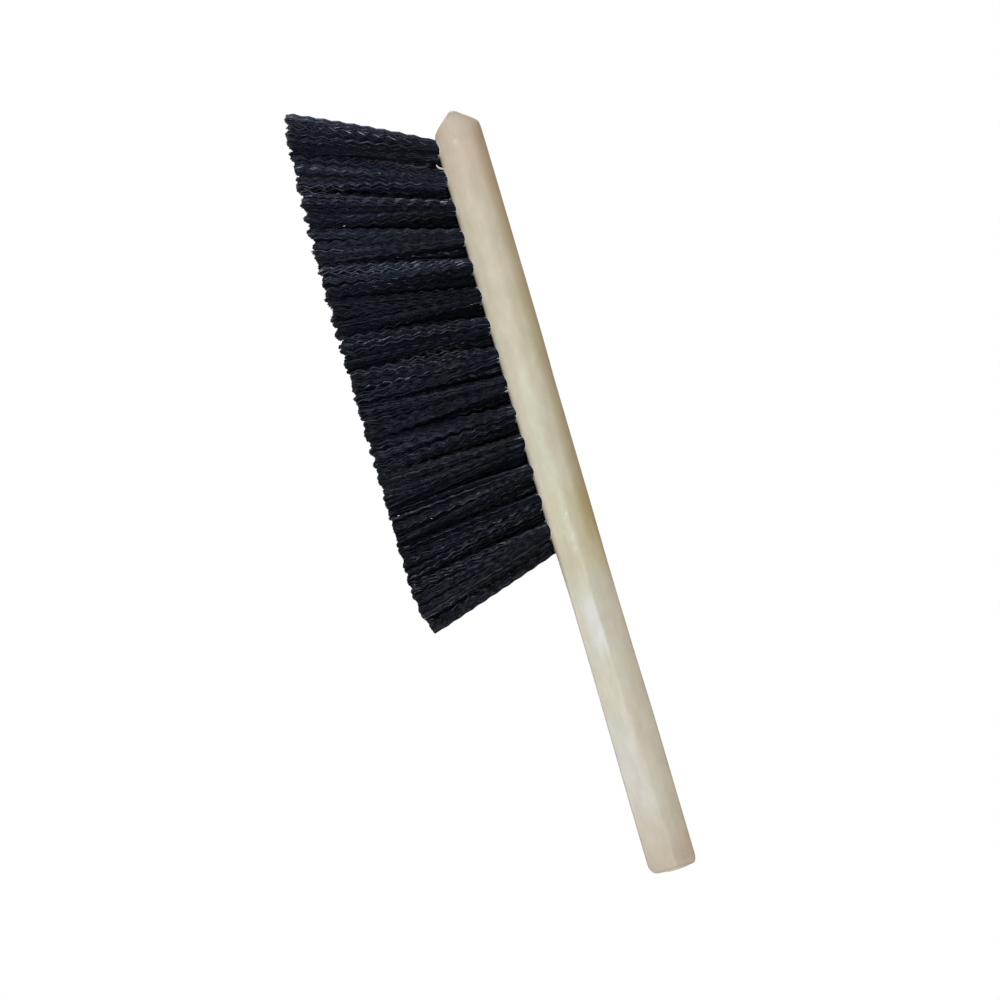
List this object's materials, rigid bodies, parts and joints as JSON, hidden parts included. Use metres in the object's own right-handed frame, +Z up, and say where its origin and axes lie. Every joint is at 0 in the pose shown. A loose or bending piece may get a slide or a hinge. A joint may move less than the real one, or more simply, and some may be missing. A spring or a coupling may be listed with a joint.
{
  "type": "blind cleaning brush",
  "caption": "Long wooden dusting brush with a straight bevelled grip and staggered rows of fanned, crimped black bristle tufts for wiping window blind slats.",
  "frame": {"origin": "middle of the brush's bounding box, on the plane that its bristle tips stand on", "axes": "+X along the bar towards the butt of the grip, +Y across the bar, +Z up from the bristle tips to the flat back"},
  "size_m": [0.3566, 0.0342, 0.086],
  "materials": {
    "varnished_wood": "pale close-grained wood under a thin clear varnish",
    "black_bristle": "blue-black crimped plastic filament, slightly glossy",
    "steel_wire": "plain drawn flat wire"
  },
  "bodies": {
    "root": {"wooden_handle": "varnished_wood", "tuft_near_01": "black_bristle", "tuft_near_02": "black_bristle", "tuft_near_03": "black_bristle", "tuft_near_04": "black_bristle", "tuft_near_05": "black_bristle", "tuft_near_06": "black_bristle", "tuft_near_07": "black_bristle", "tuft_near_08": "black_bristle", "tuft_near_09": "black_bristle", "tuft_near_10": "black_bristle", "tuft_near_11": "black_bristle", "tuft_near_12": "black_bristle", "tuft_near_13": "black_bristle", "tuft_near_14": "black_bristle", "tuft_far_01": "black_bristle", "tuft_far_02": "black_bristle", "tuft_far_03": "black_bristle", "tuft_far_04": "black_bristle", "tuft_far_05": "black_bristle", "tuft_far_06": "black_bristle", "tuft_far_07": "black_bristle", "tuft_far_08": "black_bristle", "tuft_far_09": "black_bristle", "tuft_far_10": "black_bristle", "tuft_far_11": "black_bristle", "tuft_far_12": "black_bristle", "tuft_far_13": "black_bristle", "tuft_far_14": "black_bristle", "anchor_near_01": "steel_wire", "anchor_near_02": "steel_wire", "anchor_near_03": "steel_wire", "anchor_near_04": "steel_wire", "anchor_near_05": "steel_wire", "anchor_near_06": "steel_wire", "anchor_near_07": "steel_wire", "anchor_near_08": "steel_wire", "anchor_near_09": "steel_wire", "anchor_near_10": "steel_wire", "anchor_near_11": "steel_wire", "anchor_near_12": "steel_wire", "anchor_near_13": "steel_wire", "anchor_near_14": "steel_wire", "anchor_far_01": "steel_wire", "anchor_far_02": "steel_wire", "anchor_far_03": "steel_wire", "anchor_far_04": "steel_wire", "anchor_far_05": "steel_wire", "anchor_far_06": "steel_wire", "anchor_far_07": "steel_wire", "anchor_far_08": "steel_wire", "anchor_far_09": "steel_wire", "anchor_far_10": "steel_wire", "anchor_far_11": "steel_wire", "anchor_far_12": "steel_wire", "anchor_far_13": "steel_wire", "anchor_far_14": "steel_wire"}
  },
  "joints": []
}
